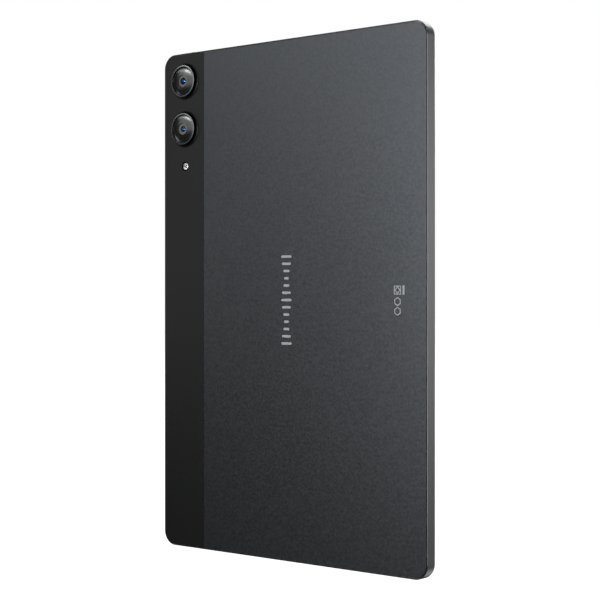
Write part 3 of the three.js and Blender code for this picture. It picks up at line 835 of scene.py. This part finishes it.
def make_badge():
    """A generic badge down the middle of the back: a column of cross bars, long and short."""
    count, length, widest, narrowest, thickness, waves = 13, 44, 6.6, 2.97, 1.25, 2
    pitch = (length - thickness) / (count - 1)
    for index in range(count):
        share = 0.5 + 0.5 * math.cos(math.tau * index / (count - 1) * waves)
        span = narrowest + (widest - narrowest) * share
        z = MIDDLE - length / 2 + thickness / 2 + index * pitch
        slab("badge_bar_%d" % index, stadium(0, z, span, thickness, 8))


def polygon(centre_x, centre_z, reach, sides, turn):
    """A regular polygon of (x, z) points."""
    angles = [math.radians(turn + 360 * i / sides) for i in range(sides)]
    return [(centre_x + reach * math.cos(a), centre_z + reach * math.sin(a)) for a in angles]


def make_marks():
    """Generic marks near the -X edge: a framed diamond with a bar beside it, and two hexagons."""
    middle = -HALF_WIDTH + MARK_INSET
    levels = [PRINT_BELOW, PRINT_ABOVE, PRINT_ABOVE, PRINT_BELOW]

    def outlined(name, z, reach, sides, turn):
        outer = polygon(middle, z, reach, sides, turn)
        inner = polygon(middle, z, reach - PRINT_STROKE / math.cos(math.pi / sides), sides, turn)
        ring = loop_ring(name, [outer, outer, inner, inner], levels, [PRINT])
        keep(ring, BODY, "ring_metal")

    frame_z = MIDDLE + 4.6
    outlined("mark_frame", frame_z, 2.9, 4, 45)
    outlined("mark_diamond", frame_z, 1.75, 4, 0)
    outlined("mark_upper_hexagon", MIDDLE - 0.7, 2.05, 6, 30)
    outlined("mark_lower_hexagon", MIDDLE - 5.2, 2.05, 6, 30)
    bar_x, half_thickness, half_length = middle - 3.45, 0.55, 2.15
    slab("mark_bar", [(bar_x - half_thickness, frame_z - half_length),
                      (bar_x + half_thickness, frame_z - half_length),
                      (bar_x + half_thickness, frame_z + half_length),
                      (bar_x - half_thickness, frame_z + half_length)])


make_badge()
make_marks()

# ---- Keys and card tray ------------------------------------------------------------------------

KEY_FLANGE_OVERLAP = 1
KEY_FLANGE_WIDTH = 3
KEY_FLANGE = 0.3
KEY_EDGE = 0.2
TRAY_CAP_START = 82.4
TRAY_POCKET_END = 79
EJECT_HOLE = 0.9
EJECT_OFFSET = 7.6


def cap_end(middle, length, tip):
    """The outer end of a key: its loops and levels, with a rounded edge."""
    turns = quarter(5)
    insets = [KEY_EDGE * (1 - math.cos(t)) for t in turns]
    loops = [stadium(middle, SIDE_CENTRE, length - 2 * i, KEY_WIDTH - 2 * i) for i in insets]
    return loops, [tip - KEY_EDGE + KEY_EDGE * math.sin(t) for t in turns]


def make_key(name, node, body, axis, length):
    """A key: a flange inside the wall, and a cap through it that stands proud."""
    across = 0 if axis == "z" else 2
    along = 2 - across
    middle = centre(node)[across]
    bottom, tip = low(node)[along], high(node)[along]
    flange = stadium(middle, SIDE_CENTRE, length + 2 * KEY_FLANGE_OVERLAP, KEY_FLANGE_WIDTH)
    stem = stadium(middle, SIDE_CENTRE, length, KEY_WIDTH)
    loops, levels = cap_end(middle, length, tip)
    key = prism(name, [flange, flange, stem] + loops,
                [bottom, bottom + KEY_FLANGE, bottom + KEY_FLANGE] + levels, axis, [FRAME_METAL])
    keep(key, body, "frame_metal", node)


def make_tray():
    """The card tray: a cap with an eject hole, and a thin plate with two card pockets."""
    node = "card_tray"
    middle, tip = centre(node).z, high(node).x
    loops, levels = cap_end(middle, TRAY_LENGTH, tip)
    stem = stadium(middle, SIDE_CENTRE, TRAY_LENGTH, KEY_WIDTH)
    cap = prism("tray_cap", [stem] + loops, [TRAY_CAP_START] + levels, "x", [FRAME_METAL, BLACK_BORE_AND_PAINTED_SHADE])
    hole = stadium(middle - EJECT_OFFSET, SIDE_CENTRE, EJECT_HOLE, EJECT_HOLE, 8)
    # The eject hole's inside is painted near-black: painted shade in the hole.
    carve(cap, [prism("cutter", [hole, hole], [tip - EJECT_HOLE, tip + SPARE], "x", [])], slot=1)
    keep(cap, "tray", "frame_metal", node)

    half, rib, end_rim, side_rim, levels = 8.6, 0.6, 1.2, 1, (0.5, 1.1)
    start = low(node).x

    def rectangle(x0, x1, z0, z1):
        return [(x0, z0), (x1, z0), (x1, z1), (x0, z1)]

    edge = rectangle(start, TRAY_CAP_START + 0.1, middle - half, middle + half)
    carrier = prism("tray_plate", [edge, edge], levels, "y", [FRAME_METAL])
    pocket_start, pocket_side = start + end_rim, half - side_rim
    pockets = [rectangle(pocket_start, TRAY_POCKET_END, middle + rib, middle + pocket_side),
               rectangle(pocket_start, TRAY_POCKET_END, middle - pocket_side, middle - rib)]
    cut_levels = [levels[0] - SPARE, levels[1] + SPARE]
    carve(carrier, [prism("cutter", [p, p], cut_levels, "y", []) for p in pockets])
    keep(carrier, "tray", "frame_metal")


make_key("power_key_cap", "power_button", "power_key", "z", POWER_LENGTH)
make_key("volume_key_cap", "volume_rocker", "volume_key", "x", ROCKER_LENGTH)
make_tray()

# ---- Screen side -------------------------------------------------------------------------------

ACTIVE_INSET = 9.2


def make_screen():
    """The cover glass: a rounded edge, a black border, and the display's area inside it."""
    edge, seam = 0.35, 0.05
    turns = quarter(6)
    insets = [GLASS_INSET] + [GLASS_INSET + edge * (1 - math.cos(t)) for t in turns]
    depths = [GLASS_BACK] + [GLASS_FRONT + edge - edge * math.sin(t) for t in turns]
    insets += [GLASS_INSET + 2 * edge, ACTIVE_INSET, ACTIVE_INSET + seam]
    depths += [GLASS_FRONT] * 3
    slots = [0] * (len(insets) - 2) + [1]
    glass = stack("screen_glass", [outline(i) for i in insets], depths,
                  [SCREEN_GLASS, SCREEN_OFF], slots, angle=40)
    keep(glass, BODY, "cover_glass", "cover_glass")


def make_bezel_trim():
    """The thin plastic ring between the frame and the glass, with softened front edges."""
    node = "front_bezel_trim"
    outer, front, back = low(node).z, low(node).y, high(node).y
    width, soft = 0.5, 0.06
    profile = [(outer, back), (outer, front + soft), (outer + soft, front),
               (outer + width - soft, front), (outer + width, front + soft), (outer + width, back)]
    trim = loop_ring("bezel_trim", [outline(i) for i, _ in profile], [y for _, y in profile],
                     [TRIM_PLASTIC])
    keep(trim, BODY, "trim_plastic", node)


def make_front_eye():
    """The front camera seen through the glass: a dark ring round a small coated lens."""
    spot = centre("front_camera_module")
    face = GLASS_FRONT - 0.01
    lens, ring, groove, hollow, back = 0.75, 1.7, 0.05, 0.002, face + 0.1
    profile = [(0, face), (lens, face + hollow), (lens + groove, face), (ring, face),
               (ring + groove, back), (0, back)]
    eye = turned("front_eye", profile, spot.x, spot.z, [EYE_LENS, EYE_RING],
                 [0, 1, 1, 1, 1, 1], steps=48)
    keep(eye, BODY, "camera_glass")


make_bezel_trim()
make_front_eye()
make_screen()

# ---- Finishes of the CAD's own pieces ----------------------------------------------------------

NODE_FINISHES = {
    "frame_metal": FRAME_METAL, "trim_plastic": TRIM_PLASTIC, "cover_glass": SCREEN_GLASS,
    "camera_glass": WINDOW_GLASS, "ring_metal": RING_TOP, "cone_black": CONE_BLACK,
    "panel": PANEL, "backlight": REFLECTOR, "board": BOARD, "flex": FLEX, "steel": STEEL,
    "cell": CELL_WRAP, "graphite": GRAPHITE, "dark_plastic": DARK_PLASTIC,
    "flash_lens": FLASH_CLEAR, "led": PHOSPHOR, "mesh": MESH_WIRE,
    "back_metal": BACK_METAL, "strip_plastic": STRIP_FINISH,
}
for part in frame["record"]["subparts"]:
    node = frame["nodes"][part["node"]]
    node.data.materials.clear()
    node.data.materials.append(NODE_FINISHES[part["material_slot"]])

# ---- Floor, light and camera, in metres --------------------------------------------------------

FLOOR_HALF = 6.0
ROOM_LIGHT = 0.04
CAMERA_X = -0.4766
CAMERA_Y = 0.5669
CAMERA_TURN = 39.717
CAMERA_LENS = 90.02
SENSOR_WIDTH = 36


def make_floor():
    """A white floor for the camera only: it takes no part in reflections or in soft light."""
    half = FLOOR_HALF
    mesh = bpy.data.meshes.new("floor")
    mesh.from_pydata([(-half, -half, 0), (half, -half, 0), (half, half, 0), (-half, half, 0)],
                     [], [(0, 1, 2, 3)])
    floor = bpy.data.objects.new("floor", mesh)
    bpy.context.scene.collection.objects.link(floor)
    paint = bpy.data.materials.new("floor_paint")
    paint.use_nodes = True
    shader = paint.node_tree.nodes["Principled BSDF"]
    shader.inputs["Base Color"].default_value = (0.9, 0.9, 0.9, 1)
    shader.inputs["Roughness"].default_value = 0.9
    shader.inputs["Emission Color"].default_value = (1, 1, 1, 1)
    shader.inputs["Emission Strength"].default_value = 1.0
    mesh.materials.append(paint)
    floor.visible_glossy = False
    floor.visible_diffuse = False
    floor.visible_shadow = False


def soft_box(name, azimuth, elevation, distance, width, height, power):
    """A rectangular light aimed at the object's middle. Azimuth runs from +Y towards +X.

    Angles are in degrees, distance and size in metres, and power in watts.
    """
    data = bpy.data.lights.new(name, "AREA")
    data.shape = "RECTANGLE"
    data.size = width
    data.size_y = height
    data.energy = power
    around, up = math.radians(azimuth), math.radians(elevation)
    level = math.cos(up)
    direction = Vector((math.sin(around) * level, math.cos(around) * level, math.sin(up)))
    light = bpy.data.objects.new(name, data)
    light.location = Vector((0, 0, MIDDLE * MM)) + direction * distance
    light.rotation_mode = "QUATERNION"
    light.rotation_quaternion = (-direction).to_track_quat("-Z", "Y")
    light.visible_camera = False
    bpy.context.scene.collection.objects.link(light)


def make_world():
    """White behind everything, and a dim even grey as light."""
    world = bpy.data.worlds.new("studio")
    bpy.context.scene.world = world
    world.use_nodes = True
    nodes, links = world.node_tree.nodes, world.node_tree.links
    seen = nodes["Background"]
    seen.inputs["Color"].default_value = (1, 1, 1, 1)
    seen.inputs["Strength"].default_value = 1.0
    lit = nodes.new("ShaderNodeBackground")
    lit.inputs["Color"].default_value = (0.93, 0.96, 1.0, 1)
    lit.inputs["Strength"].default_value = ROOM_LIGHT
    path = nodes.new("ShaderNodeLightPath")
    mix = nodes.new("ShaderNodeMixShader")
    links.new(path.outputs["Is Camera Ray"], mix.inputs["Fac"])
    links.new(lit.outputs["Background"], mix.inputs[1])
    links.new(seen.outputs["Background"], mix.inputs[2])
    links.new(mix.outputs["Shader"], nodes["World Output"].inputs["Surface"])


def make_camera_view():
    """A level camera at mid-height, looking at the back from 40 degrees to one side."""
    data = bpy.data.cameras.new("camera")
    data.lens = CAMERA_LENS
    data.sensor_width = SENSOR_WIDTH
    camera = bpy.data.objects.new("camera", data)
    camera.location = (CAMERA_X, CAMERA_Y, MIDDLE * MM)
    turn = math.radians(CAMERA_TURN)
    forward = Vector((math.sin(turn), -math.cos(turn), 0))
    camera.rotation_mode = "QUATERNION"
    camera.rotation_quaternion = forward.to_track_quat("-Z", "Y")
    bpy.context.scene.collection.objects.link(camera)
    bpy.context.scene.camera = camera


make_floor()
make_world()
# Towards the back and the camera bumps, as the main view sees them reflected.
soft_box("key_light", 9, 5, 1.0, 0.13, 0.36, 4.7)
soft_box("fill_light", 33, 13.5, 2.5, 1.6, 0.65, 1.9)
soft_box("band_light", 36, 20.5, 2.5, 0.6, 0.2, 1.9)
soft_box("wide_light", 48, 20, 2.5, 0.8, 0.1, 0.55)
soft_box("low_light", 80, 2, 0.5, 0.4, 0.13, 0.18)
# Towards the near side wall and its corners.
soft_box("wall_light", 246, 4, 0.85, 0.15, 0.26, 4.3)
soft_box("corner_light", 165, 38, 1.9, 0.9, 0.8, 4.6)
soft_box("edge_light", -55, 2, 1.2, 0.5, 0.7, 0.55)
soft_box("table_light", 190, -33, 1.3, 0.7, 0.7, 1.0)
soft_box("back_light", 177, 21, 3.0, 0.65, 1.3, 23)
make_camera_view()
bpy.context.scene.view_settings.view_transform = "Standard"
